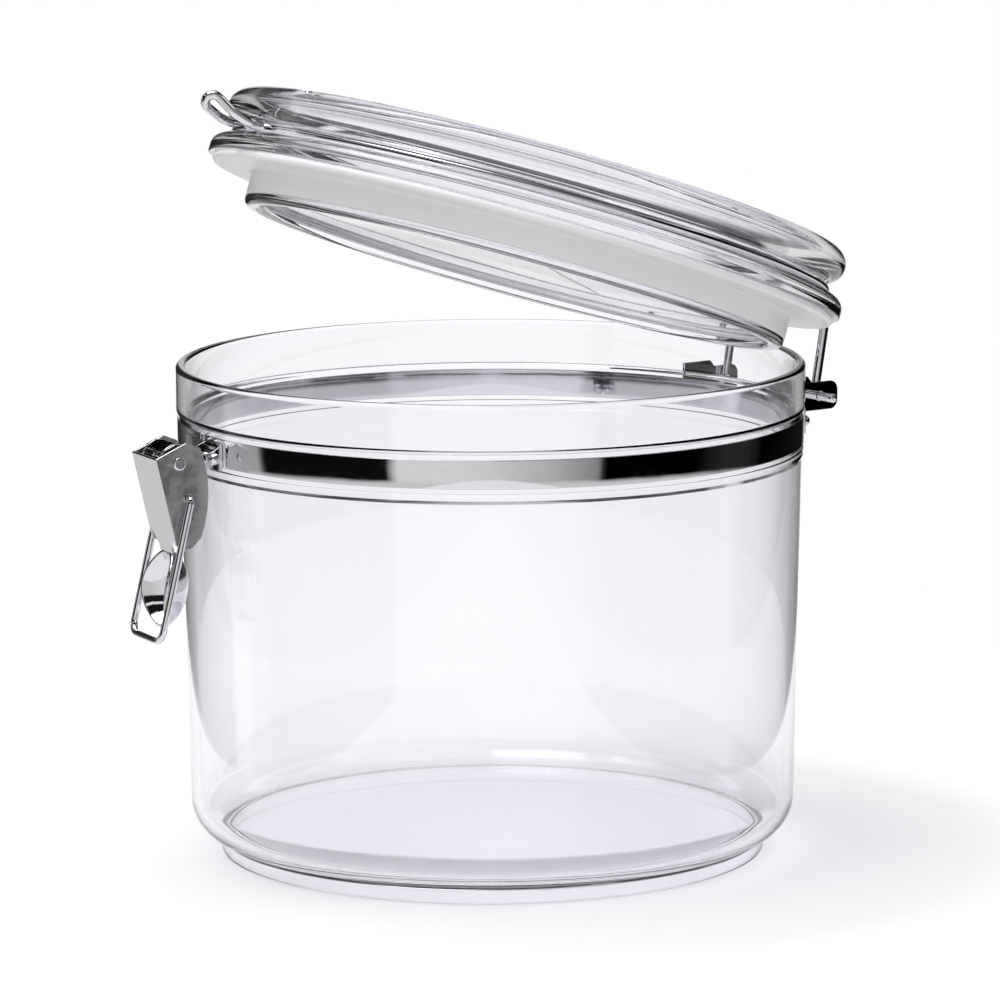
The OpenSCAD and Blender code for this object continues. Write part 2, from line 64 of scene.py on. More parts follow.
@dataclass
class Profile:
    """Outline in a plane, laid down point by point, with rounded corners and arcs.

    Each entry is a corner with the radius that rounds it, or a stretch of ready points.
    """

    entries: list[tuple[np.ndarray, float]] = field(default_factory=list)

    def to(self, a: float, b: float, rounding: float = 0.0) -> "Profile":
        """Adds a corner at (a, b), rounded by a radius."""
        self.entries.append((np.array([[a, b]], float), rounding))
        return self

    def arc(self, a: float, b: float, radius: float, start: float, end: float,
            steps: int) -> "Profile":
        """Adds an arc about (a, b) between two angles in degrees."""
        turn = np.radians(np.linspace(start, end, steps + 1))
        points = np.stack([a + radius * np.cos(turn), b + radius * np.sin(turn)], axis=1)
        self.entries.append((points, 0.0))
        return self

    def points(self, steps: int = 5) -> np.ndarray:
        """Gives the outline's points.

        A rounded corner becomes the arc that touches both of its sides: it starts and ends
        radius / tan(half the corner's angle) from the corner.

        Args:
            steps: Segments in each rounded corner.

        Returns:
            An array of N points.
        """
        out: list[np.ndarray] = []
        for i, (points, rounding) in enumerate(self.entries):
            if rounding == 0.0 or i in (0, len(self.entries) - 1):
                out.append(points)
                continue
            corner = points[0]
            before = self.entries[i - 1][0][-1] - corner
            after = self.entries[i + 1][0][0] - corner
            before = before / np.linalg.norm(before)
            after = after / np.linalg.norm(after)
            half = 0.5 * math.acos(float(np.clip(before @ after, -1.0, 1.0)))
            middle = before + after
            centre = corner + middle / np.linalg.norm(middle) * rounding / math.sin(half)
            first = corner + before * rounding / math.tan(half) - centre
            last = corner + after * rounding / math.tan(half) - centre
            share = np.linspace(0.0, 1.0, steps + 1)[:, None]
            spread = math.pi - 2.0 * half
            mixed = np.sin((1.0 - share) * spread) * first + np.sin(share * spread) * last
            out.append(centre + mixed / math.sin(spread))
        return np.concatenate(out)


def new_object(name: str, data: ID) -> Object:
    """Makes an object from its data and links it to the scene."""
    made = bpy.data.objects.new(name, data)
    bpy.context.scene.collection.objects.link(made)
    return made


def new_piece(name: str, vertices: np.ndarray, faces: list, smooth: bool = True) -> Object:
    """Makes a mesh object from arrays and links it to the scene.

    Args:
        name: Name of the piece.
        vertices: N by 3 array of places in millimetres.
        faces: Lists of vertex numbers.
        smooth: Whether the faces are shaded smooth.

    Returns:
        The new object, at the origin.
    """
    mesh = bpy.data.meshes.new(name)
    mesh.from_pydata((np.asarray(vertices) * MM).tolist(), [], faces)
    mesh.validate()
    mesh.polygons.foreach_set("use_smooth", np.full(len(mesh.polygons), smooth))
    mesh.update()
    return new_object(name, mesh)


def grid_faces(rows: int, columns: int, closed_rows: bool, closed_columns: bool) -> np.ndarray:
    """Numbers the quads of a grid of points.

    The quad at (i, j) joins points (i, j), (i + 1, j), (i + 1, j + 1) and (i, j + 1), and
    wraps round in a direction that is closed.

    Args:
        rows: Points along the first direction.
        columns: Points along the second direction.
        closed_rows: Whether the last row joins the first.
        closed_columns: Whether the last column joins the first.

    Returns:
        An array of quads.
    """
    i, j = np.meshgrid(
        np.arange(rows if closed_rows else rows - 1),
        np.arange(columns if closed_columns else columns - 1),
        indexing="ij",
    )
    ii, jj = (i + 1) % rows, (j + 1) % columns
    near, far = i * columns, ii * columns
    return np.stack([near + j, far + j, far + jj, near + jj], axis=-1).reshape(-1, 4)


def end_caps(rows: int, columns: int) -> list[list[int]]:
    """Numbers the two faces that close the first and last ring of a tube."""
    return [list(range(columns)), list(range(rows * columns - 1, (rows - 1) * columns - 1, -1))]


def guarded(outline: np.ndarray, reach: float = 0.3) -> np.ndarray:
    """Adds a point close to each end of every long straight run, so that it shades flat.

    A run is long when it is over four times the reach.

    Args:
        outline: N by 2 array.
        reach: Distance of the new points from the ends of their run, in millimetres.

    Returns:
        The outline with its new points.
    """
    step = np.diff(outline, axis=0)
    length = np.linalg.norm(step, axis=1)
    inwards = reach * step / np.maximum(length, 1e-9)[:, None]
    whole = np.stack([outline[:-1], outline[:-1] + inwards, outline[1:] - inwards], axis=1)
    long = length > 4 * reach
    kept = np.stack([np.ones(len(long), bool), long, long], axis=1)
    return np.concatenate([whole[kept], outline[-1:]])


def turned(outline: np.ndarray, angles: np.ndarray) -> np.ndarray:
    """Places of (radius, height) points at angles in radians: (r cos a, r sin a, z)."""
    (r, z), a = outline.T, angles[:, None]
    return np.stack([r * np.cos(a), r * np.sin(a), z + 0.0 * a], axis=-1).reshape(-1, 3)


def revolved(name: str, outline: np.ndarray, segments: int = ROUND_STEPS) -> Object:
    """Turns an outline of (radius, height) points round the Z axis into a closed surface.

    An outline that starts and ends on the axis is closed there by a fan of triangles, and any
    other outline joins its own start.

    Args:
        name: Name of the piece.
        outline: N by 2 array, run so that the solid lies to its left.
        segments: Steps round the axis.

    Returns:
        The new object.
    """
    on_axis = abs(outline[0, 0]) < 1e-6 and abs(outline[-1, 0]) < 1e-6
    if not on_axis:
        outline = np.concatenate([outline, outline[:1]])
    ring = guarded(outline)
    ring = ring[1:-1] if on_axis else ring[:-1]
    vertices = turned(ring, np.arange(segments) / segments * TAU)
    faces = grid_faces(segments, len(ring), True, not on_axis).tolist()
    if on_axis:
        poles = np.array([[0.0, 0.0, outline[0, 1]], [0.0, 0.0, outline[-1, 1]]])
        near = np.arange(segments) * len(ring)
        far, last = np.roll(near, -1), len(ring) - 1
        first_pole = np.full(segments, len(vertices))
        low = np.stack([near, first_pole, far], axis=1)
        high = np.stack([near + last, far + last, first_pole + 1], axis=1)
        faces += low.tolist() + high.tolist()
        vertices = np.concatenate([vertices, poles])
    return new_piece(name, vertices, faces)


def carried_frames(path: np.ndarray, side: np.ndarray) -> tuple[np.ndarray, np.ndarray]:
    """Carries a pair of side directions along a path without twist.

    Each side direction is the last one less its part along the path's new heading.

    Args:
        path: N by 3 points.
        side: Direction to start from.

    Returns:
        Two N by 3 arrays of unit directions across the path.
    """
    heading = np.gradient(path, axis=0)
    heading /= np.linalg.norm(heading, axis=1, keepdims=True)
    across = np.empty_like(path)
    current = side - (side @ heading[0]) * heading[0]
    for k, way in enumerate(heading):
        current = current - (current @ way) * way
        current = current / np.linalg.norm(current)
        across[k] = current
    return across, np.cross(heading, across)


def swept_wire(name: str, path: np.ndarray, radius: float, side: Place, sides: int = 24) -> Object:
    """Carries a circle along a path as a wire with softly domed ends.

    A surface point is path + radius (cos a u + sin a v), with u and v across the path. The
    last rings at each end shrink as a quarter ellipse.

    Args:
        name: Name of the piece.
        path: N by 3 points in millimetres.
        radius: Radius of the wire.
        side: Side direction at the start.
        sides: Points round the wire.

    Returns:
        The new object.
    """
    heads = [path[1] - path[0], path[-1] - path[-2]]
    heads = [h / np.linalg.norm(h) for h in heads]
    bulge = np.radians([90.0, 60.0, 30.0])
    depth, shrink = WIRE_DOME * radius * np.sin(bulge), np.cos(bulge)
    shrink[0] = WIRE_TIP
    path = np.concatenate([
        path[0] - depth[:, None] * heads[0], path, path[-1] + depth[::-1][:, None] * heads[1]])
    full = np.ones(len(path) - 2 * len(shrink))
    radii = np.concatenate([shrink, full, shrink[::-1]]) * radius
    u, v = carried_frames(path, np.array(side, float))
    turn = np.arange(sides) / sides * TAU
    points = path[:, None, :] + radii[:, None, None] * (
        np.cos(turn)[None, :, None] * u[:, None, :] + np.sin(turn)[None, :, None] * v[:, None, :])
    faces = grid_faces(len(path), sides, False, True)[:, ::-1].tolist()
    return new_piece(name, points.reshape(-1, 3), faces + end_caps(len(path), sides))


def arc_points(centre: np.ndarray, e1: np.ndarray, e2: np.ndarray, radius: float,
               start: float, end: float, steps: int) -> np.ndarray:
    """Points of an arc in space: centre + radius (cos a e1 + sin a e2)."""
    turn = np.radians(np.linspace(start, end, steps + 1))[:, None]
    return centre + radius * (np.cos(turn) * e1 + np.sin(turn) * e2)


def curve_through(points: np.ndarray, steps: int = 14) -> np.ndarray:
    """Smooth curve through points, without its two end points.

    Between points b and c it is the cubic whose slope at b is (c - a) / 2 and at c is
    (d - b) / 2.

    Args:
        points: N by 3 array.
        steps: Points for each span.

    Returns:
        The curve's points.
    """
    a, b, c, d = (points[k:len(points) - 3 + k][:, None, :] for k in range(4))
    t = (np.arange(steps) / steps)[None, :, None]
    spans = 0.5 * (2 * b + (c - a) * t + (2 * a - 5 * b + 4 * c - d) * t**2
                   + (3 * b - a - 3 * c + d) * t**3)
    return spans.reshape(-1, 3)


def turn_about_x(points: np.ndarray, degrees: float, y: float, z: float) -> np.ndarray:
    """Turns points about an axis along X through (y, z)."""
    a = math.radians(degrees)
    dy, dz = points[..., 1] - y, points[..., 2] - z
    out = np.array(points, float)
    out[..., 1] = y + dy * math.cos(a) - dz * math.sin(a)
    out[..., 2] = z + dy * math.sin(a) + dz * math.cos(a)
    return out


def move_vertices(piece: Object, change) -> None:
    """Replaces a mesh's vertices with what a function of them gives, in millimetres."""
    count = len(piece.data.vertices)
    flat = np.empty(count * 3, np.float32)
    piece.data.vertices.foreach_get("co", flat)
    moved = change(flat.reshape(-1, 3).astype(float) / MM) * MM
    piece.data.vertices.foreach_set("co", moved.astype(np.float32).ravel())
    piece.data.update()


def add_modifier(piece: Object, kind: str, **settings: object) -> None:
    """Adds a modifier with settings to a piece."""
    modifier = piece.modifiers.new(kind.title(), kind)
    for key, value in settings.items():
        setattr(modifier, key, value)


# ---------------- sizes


@dataclass(frozen=True)
class Sizes:
    """Driving sizes of the canister in millimetres and degrees, and what follows from them."""

    jar_h: float = 157.0
    collar_r: float = 100.0
    wall_t: float = 3.0
    floor_t: float = 3.2
    draft: float = 1.2
    collar_h: float = 15.3
    collar_step: float = 1.2
    base_corner_r: float = 12.0
    foot_h: float = 5.0
    foot_w: float = 2.6
    foot_inset: float = 9.6
    band_h: float = 8.9
    band_t: float = 0.8
    band_drop: float = 1.5
    band_end_gap: float = 2.0
    band_ease: float = 0.1
    ledge_gap: float = 1.5
    ledge_h: float = 3.3
    body_over: float = 0.1
    lid_open: float = 18.9
    plug_in: float = 11.4
    plug_depth: float = 11.0
    plug_recess: float = 4.0
    plug_lip_w: float = 5.5
    gasket_t: float = 2.4
    sleeve_t: float = 1.6
    shell_t: float = 2.5
    flange_over: float = 3.8
    flange_h: float = 6.6
    waist_h: float = 4.1
    waist_depth: float = 6.2
    dome_h: float = 11.2
    dome_over: float = 1.5
    bail_d: float = 3.0
    hinge_out: float = 13.7
    hinge_drop: float = 18.7
    ear_x: float = 25.5
    pin_over: float = 6.9
    plate_t: float = 1.2
    leg_lean: float = 8.5
    bail_bend_r: float = 5.0
    ring_gap: float = 0.1
    eye_reach: float = 21.6
    eye_rise: float = 5.3
    latch_turn: float = 9.0
    pivot_out: float = 12.0
    pivot_drop: float = 23.9
    lever_w: float = 19.0
    lever_t: float = 1.0
    lever_len: float = 27.0
    lever_lean: float = 13.2
    tab_w: float = 19.4
    tab_len: float = 24.0
    tab_kick: float = 21.0
    link_d: float = 2.4
    wire_slim: float = 0.04
    link_len: float = 45.5
    link_drop: float = 11.4
    link_lean: float = 13.7
    seated: float = 0.05
    side_gap: float = 0.4
    path_gap: float = 0.1

    @property
    def seat_r(self) -> float:
        """Radius of the jar's seat under the band."""
        return self.collar_r - self.collar_step

    @property
    def collar_z(self) -> float:
        """Height of the collar's lower edge."""
        return self.jar_h - self.collar_h

    @property
    def band_z(self) -> float:
        """Height of the band's lower edge."""
        return self.collar_z - self.band_drop - self.band_h

    @property
    def ledge_top(self) -> float:
        """Height of the top of the ledge under the band."""
        return self.band_z - self.ledge_gap

    @property
    def ledge_low(self) -> float:
        """Height at which the ledge leaves the wall."""
        return self.ledge_top - self.ledge_h

    @property
    def body_top_r(self) -> float:
        """Outer radius of the wall under the ledge."""
        return self.seat_r + self.body_over

    @property
    def base_z(self) -> float:
        """Height at which the wall meets the base corner."""
        return self.foot_h + self.base_corner_r

    @property
    def base_r(self) -> float:
        """Outer radius of the wall at the base corner."""
        return self.body_top_r - (self.ledge_low - self.base_z) * math.tan(math.radians(self.draft))

    @property
    def band_r(self) -> float:
        """Inner radius of the band."""
        return self.seat_r + self.band_ease

    @property
    def plug_r(self) -> float:
        """Radius of the plug."""
        return self.collar_r - self.plug_in

    @property
    def closed_z(self) -> float:
        """Height of the gasket's underside when the lid is closed."""
        return self.jar_h + 2 * self.seated

    @property
    def flange_z(self) -> float:
        """Height of the flange's underside when the lid is closed."""
        return self.closed_z + self.gasket_t

    @property
    def flange_top(self) -> float:
        """Height of the flange's top when the lid is closed."""
        return self.flange_z + self.flange_h

    @property
    def waist_top(self) -> float:
        """Height of the top of the bail's groove when the lid is closed."""
        return self.flange_top + self.waist_h

    @property
    def dome_r(self) -> float:
        """Largest radius of the dome's edge."""
        return self.collar_r + self.dome_over

    @property
    def waist_r(self) -> float:
        """Radius of the groove's floor."""
        return self.dome_r - self.waist_depth

    @property
    def ring_r(self) -> float:
        """Radius of the bail's ring."""
        return self.waist_r + self.bail_d / 2 + self.ring_gap

    @property
    def ring_z(self) -> float:
        """Height of the bail's ring when the lid is closed."""
        return self.flange_top + self.bail_d / 2 + self.ring_gap

    @property
    def hinge_y(self) -> float:
        """Distance of the hinge axis from the jar's axis."""
        return self.collar_r + self.hinge_out

    @property
    def hinge_z(self) -> float:
        """Height of the hinge axis."""
        return self.jar_h - self.hinge_drop

    @property
    def pivot_y(self) -> float:
        """Distance of the lever's pivot from the jar's axis."""
        return self.collar_r + self.pivot_out

    @property
    def pivot_z(self) -> float:
        """Height of the lever's pivot."""
        return self.jar_h - self.pivot_drop

    def open_lid(self, points: np.ndarray) -> np.ndarray:
        """Turns points drawn for the closed lid to where the open lid stands."""
        return turn_about_x(points, -self.lid_open, self.hinge_y, self.hinge_z)

    def at_latch(self, points: np.ndarray) -> np.ndarray:
        """Turns points from the latch's frame, +Y outwards, to its place round the jar."""
        a = math.radians(180.0 - self.latch_turn)
        x, y = points[..., 0], points[..., 1]
        out = np.array(points, float)
        out[..., 0] = x * math.cos(a) - y * math.sin(a)
        out[..., 1] = x * math.sin(a) + y * math.cos(a)
        return out


# ---------------- finishes


class Nodes:
    """Small helper that adds nodes to a tree and links them."""

    def __init__(self, tree: NodeTree) -> None:
        """Takes the tree to build in."""
        self.tree = tree

    def add(self, kind: str, inputs: dict | None = None, **settings: object) -> Node:
        """Adds a node.

        Args:
            kind: Blender's name of the node's type.
            inputs: Values or sockets for its inputs, by name or number.
            **settings: Attributes of the node.

        Returns:
            The node.
        """
        node = self.tree.nodes.new(kind)
        for key, value in settings.items():
            setattr(node, key, value)
        for key, value in (inputs or {}).items():
            if isinstance(value, NodeSocket):
                self.tree.links.new(value, node.inputs[key])
            else:
                node.inputs[key].default_value = value
        return node

    def link(self, a: NodeSocket, b: NodeSocket) -> None:
        """Joins two sockets."""
        self.tree.links.new(a, b)

    def calc(self, operation: str, *values: object) -> NodeSocket:
        """Adds a math node on numbers or sockets and gives its result."""
        return self.add("ShaderNodeMath", dict(enumerate(values)), operation=operation).outputs[0]

    def blend(self, factor: object, a: object, b: object) -> NodeSocket:
        """Mixes two colours by a factor and gives the result."""
        inputs = {"Factor": factor, "A": a, "B": b}
        return self.add("ShaderNodeMix", inputs, data_type="RGBA").outputs["Result"]

    def fit(self, value: object, run: Pair, onto: Pair = (0.0, 1.0),
            **settings: object) -> NodeSocket:
        """Maps a value's run onto another run, held at its ends, and gives the result."""
        inputs = {"Value": value, "From Min": run[0], "From Max": run[1],
                  "To Min": onto[0], "To Max": onto[1]}
        return self.add("ShaderNodeMapRange", inputs, **settings).outputs["Result"]

    def noise(self, place: NodeSocket, scale: object, detail: float, **more: float) -> NodeSocket:
        """Adds a noise, read at a place, and gives its level."""
        inputs = {"Vector": place, "Scale": scale, "Detail": detail, **more}
        return self.add("ShaderNodeTexNoise", inputs).outputs["Fac"]


def handled_surface() -> NodeTree:
    """Builds the shared effect of handled gloss: soft smears, fine hairlines and slight waves.

    Smears are a noise cut off below its middle, hairlines are a stretched fine noise, and
    the waves are a slow noise for the height of a bump.

    Returns:
        The node group, with outputs Roughness and Height.
    """
    group = bpy.data.node_groups.new("handled_surface", "ShaderNodeTree")
    defaults = {"Smear": 0.05, "Base Roughness": 0.05, "Smear Scale": 30.0, "Wave Scale": 18.0}
    for label, default in defaults.items():
        group.interface.new_socket(label, socket_type="NodeSocketFloat").default_value = default
    for label in ("Roughness", "Height"):
        group.interface.new_socket(label, in_out="OUTPUT", socket_type="NodeSocketFloat")
    tree = Nodes(group)
    given, out = tree.add("NodeGroupInput").outputs, tree.add("NodeGroupOutput").inputs
    place = tree.add("ShaderNodeTexCoord").outputs["Object"]
    smears = tree.fit(tree.noise(place, given["Smear Scale"], 5.0, Roughness=0.6), SMEAR_CUT)
    stretch = tree.add("ShaderNodeMapping", {"Vector": place, "Scale": HAIR_STRETCH})
    hair = tree.noise(stretch.outputs["Vector"], 1.0, 2.0)
    both = tree.calc("MULTIPLY_ADD", hair, HAIR_SHARE, smears)
    rough = tree.calc("MULTIPLY_ADD", both, given["Smear"], given["Base Roughness"])
    tree.link(rough, out["Roughness"])
    tree.link(tree.noise(place, given["Wave Scale"], 1.0), out["Height"])
    return group


def spaced(inputs: dict) -> dict:
    """Turns argument names into labels of inputs, with a space for each _."""
    return {label.replace("_", " "): value for label, value in inputs.items()}


def fresh_material(name: str, **inputs: object) -> tuple[Material, Nodes, Node, Node]:
    """Makes a node material with a Principled shader joined to its output.

    Args:
        name: Name of the material.
        **inputs: Values of the shader's inputs, with _ for a space.

    Returns:
        The material, its nodes, the shader and the output.
    """
    material = bpy.data.materials.new(name)
    material.use_nodes = True
    material.node_tree.nodes.clear()
    tree = Nodes(material.node_tree)
    shader = tree.add("ShaderNodeBsdfPrincipled", spaced(inputs))
    out = tree.add("ShaderNodeOutputMaterial")
    tree.link(shader.outputs["BSDF"], out.inputs["Surface"])
    return material, tree, shader, out


def add_handling(tree: Nodes, shader: Node, shared: NodeTree, depth: float = 0.0,
                 strength: float = 0.0, **inputs: float) -> None:
    """Joins the shared handled gloss to a shader.

    Args:
        tree: Nodes of the material.
        shader: Its Principled shader.
        shared: The node group.
        depth: Depth of the waves in metres.
        strength: Share of the waves that shows; there is no bump when it is zero.
        **inputs: Values of the group's inputs, with _ for a space.
    """
    group = tree.add("ShaderNodeGroup", spaced(inputs), node_tree=shared)
    tree.link(group.outputs["Roughness"], shader.inputs["Roughness"])
    if strength > 0.0:
        bump = tree.add("ShaderNodeBump", {
            "Height": group.outputs["Height"], "Strength": strength, "Distance": depth})
        tree.link(bump.outputs["Normal"], shader.inputs["Normal"])


def speckled(tree: Nodes, scale: float, detail: float, a: Colour, b: Colour) -> NodeSocket:
    """Colour that runs between two by a noise in the piece's own space."""
    place = tree.add("ShaderNodeTexCoord").outputs["Object"]
    return tree.blend(tree.noise(place, scale, detail), a, b)


class Finish(Enum):
    """The finishes; all but the satin steel are the record's own material slots. The satin steel is
    a rougher, darker copy of the polished steel, and its darker colour is painted shade.
    """

    ACRYLIC = "clear_acrylic"
    STEEL = "polished_steel"
    SATIN_STEEL_PAINTED_SHADE = "polished_steel_satin_painted_shade"
    SILICONE = "milky_silicone"


@dataclass(frozen=True)
class ClearAcrylic:
    """Polished clear acrylic with a faint violet-grey tint and the slow waves of moulding."""

    tint: Colour = (0.962, 0.962, 0.985, 1.0)
    shadow_tint: Colour = (0.97, 0.97, 0.985, 1.0)
    index: float = 1.49
    gloss: float = 0.012
    smear: float = 0.02
    smear_scale: float = 22.0
    wave: float = 0.05
    wave_scale: float = 14.0
    wave_depth: float = 0.004
    light_through: float = 0.92

    def build(self, shared: NodeTree) -> Material:
        """Makes the material; a lamp's light passes it without a hard dark shadow."""
        material, tree, shader, out = fresh_material(
            "clear_acrylic", Base_Color=self.tint, Transmission_Weight=1.0, IOR=self.index)
        add_handling(tree, shader, shared, self.wave_depth, self.wave, Base_Roughness=self.gloss,
                     Smear=self.smear, Smear_Scale=self.smear_scale, Wave_Scale=self.wave_scale)
        path = tree.add("ShaderNodeLightPath")
        share = tree.calc("MULTIPLY", path.outputs["Is Shadow Ray"], self.light_through)
        clear = tree.add("ShaderNodeBsdfTransparent", {"Color": self.shadow_tint})
        mix = tree.add("ShaderNodeMixShader", {0: share, 1: shader.outputs[0], 2: clear.outputs[0]})
        tree.link(mix.outputs[0], out.inputs["Surface"])
        return material


@dataclass(frozen=True)
class PolishedSteel:
    """Bright rolled and polished stainless steel, a little smeared by handling."""

    colour: Colour = (0.80, 0.80, 0.82, 1.0)
    pit_level: float = 0.9
    grain_scale: float = 700.0
    gloss: float = 0.03
    smear: float = 0.045
    smear_scale: float = 160.0
    wave: float = 0.06
    wave_scale: float = 120.0
    wave_depth: float = 0.0006

    def build(self, shared: NodeTree, name: str = "polished_steel") -> Material:
        """Makes the material, darker in the finest pits of the grain."""
        material, tree, shader, _ = fresh_material(name, Metallic=1.0)
        dark = tuple(self.pit_level * c for c in self.colour[:3]) + (1.0,)
        grain = speckled(tree, self.grain_scale, 3.0, dark, self.colour)
        tree.link(grain, shader.inputs["Base Color"])
        add_handling(tree, shader, shared, self.wave_depth, self.wave, Base_Roughness=self.gloss,
                     Smear=self.smear, Smear_Scale=self.smear_scale, Wave_Scale=self.wave_scale)
        return material


@dataclass(frozen=True)
class MilkySilicone:
    """Soft translucent silicone, whitish through its thickness, with a satin skin."""

    colour: Colour = (0.95, 0.95, 0.955, 1.0)
    cloud: Colour = (0.9, 0.9, 0.91, 1.0)
    index: float = 1.41
    through: float = 0.12
    body: float = 0.2
    body_reach: Place = (0.004, 0.004, 0.0045)
    cloud_scale: float = 40.0
    gloss: float = 0.3
    smear: float = 0.1

    def build(self, shared: NodeTree) -> Material:
        """Makes the material, with faint clouds in its colour."""
        material, tree, shader, _ = fresh_material(
            "milky_silicone", IOR=self.index, Transmission_Weight=self.through,
            Subsurface_Weight=self.body, Subsurface_Radius=self.body_reach)
        clouds = speckled(tree, self.cloud_scale, 4.0, self.cloud, self.colour)
        tree.link(clouds, shader.inputs["Base Color"])
        add_handling(tree, shader, shared, Base_Roughness=self.gloss, Smear=self.smear)
        return material


@dataclass
class Wardrobe:
    """The finishes, built once and worn by pieces and copies of CAD nodes."""

    materials: dict[Finish, Material] = field(default_factory=dict)
    merge_within: float = 0.002
    flat_within: float = 0.5
    sharp_over: float = 35.0
    # How squarely a face must turn to the given way to get the satin steel with its painted shade.
    satin_shade_facing: float = 0.99

    def __post_init__(self) -> None:
        """Builds every finish."""
        shared = handled_surface()
        self.materials[Finish.ACRYLIC] = ClearAcrylic().build(shared)
        self.materials[Finish.STEEL] = PolishedSteel().build(shared)
        # The satin steel is rougher, and its darker colour is painted shade on the sideways faces.
        satin = PolishedSteel(colour=(0.62, 0.62, 0.635, 1.0), gloss=0.24, smear=0.16, wave=0.1)
        self.materials[Finish.SATIN_STEEL_PAINTED_SHADE] = satin.build(shared, "satin_steel_painted_shade")
        self.materials[Finish.SILICONE] = MilkySilicone().build(shared)

    def seat(self, piece: Object, finish: Finish, body: str, *nodes: str) -> None:
        """Dresses a new piece, lets it ride on a body and stand for CAD nodes."""
        piece.data.materials.clear()
        piece.data.materials.append(self.materials[finish])
        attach(piece, body)
        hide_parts(*nodes)
        LOG.info("%s rides on %s for %s, %d faces", piece.name, body, ", ".join(nodes),
                 len(piece.data.polygons))

    def ease_node(self, name: str, body: str, width: float, satin_shade_way: np.ndarray | None = None,
                  cut: tuple[np.ndarray, np.ndarray] | None = None) -> None:
        """Stands a copy of a CAD node in its place, in steel, with its sharp edges eased.

        The copy's loose triangles are merged, neighbours in one plane are joined, and sharp
        edges get a narrow bevel.

        Args:
            name: The CAD node.
            body: The body that it rides on.
            width: Width of the bevel in millimetres.
            satin_shade_way: Direction whose faces, on either side, get the rougher satin steel with
                painted shade in its darker colour, or None.
            cut: Point and heading of a plane that takes off what lies before it, or None.
        """
        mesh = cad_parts[name].data.copy()
        shape = bmesh.new()
        shape.from_mesh(mesh)
        bmesh.ops.remove_doubles(shape, verts=shape.verts, dist=self.merge_within * MM)
        bmesh.ops.dissolve_limit(shape, angle_limit=math.radians(self.flat_within),
                                 verts=shape.verts, edges=shape.edges)
        if cut is not None:
            whole = shape.verts[:] + shape.edges[:] + shape.faces[:]
            sawn = bmesh.ops.bisect_plane(shape, geom=whole, plane_co=cut[0] * MM, plane_no=cut[1],
                                          clear_outer=True)
            rims = [e for e in sawn["geom_cut"] if isinstance(e, bmesh.types.BMEdge)]
            bmesh.ops.holes_fill(shape, edges=rims, sides=0)
        shape.to_mesh(mesh)
        shape.free()
        piece = new_object(f"{name}_eased", mesh)
        self.seat(piece, Finish.STEEL, body, name)
        # Faces turned to the given way, on either side, get the satin steel, whose darker colour is
        # painted shade.
        if satin_shade_way is not None:
            mesh.materials.append(self.materials[Finish.SATIN_STEEL_PAINTED_SHADE])
            normals = np.empty(len(mesh.polygons) * 3, np.float32)
            mesh.polygons.foreach_get("normal", normals)
            sideways = np.abs(normals.reshape(-1, 3) @ satin_shade_way) > self.satin_shade_facing
            mesh.polygons.foreach_set("material_index", sideways.astype(np.int32))
        mesh.polygons.foreach_set("use_smooth", np.ones(len(mesh.polygons), bool))
        add_modifier(piece, "BEVEL", width=width * MM, segments=2, limit_method="ANGLE",
                     angle_limit=math.radians(self.sharp_over), use_clamp_overlap=False)
        add_modifier(piece, "WEIGHTED_NORMAL", mode="FACE_AREA", weight=100, keep_sharp=False)


# ---------------- sub-assemblies


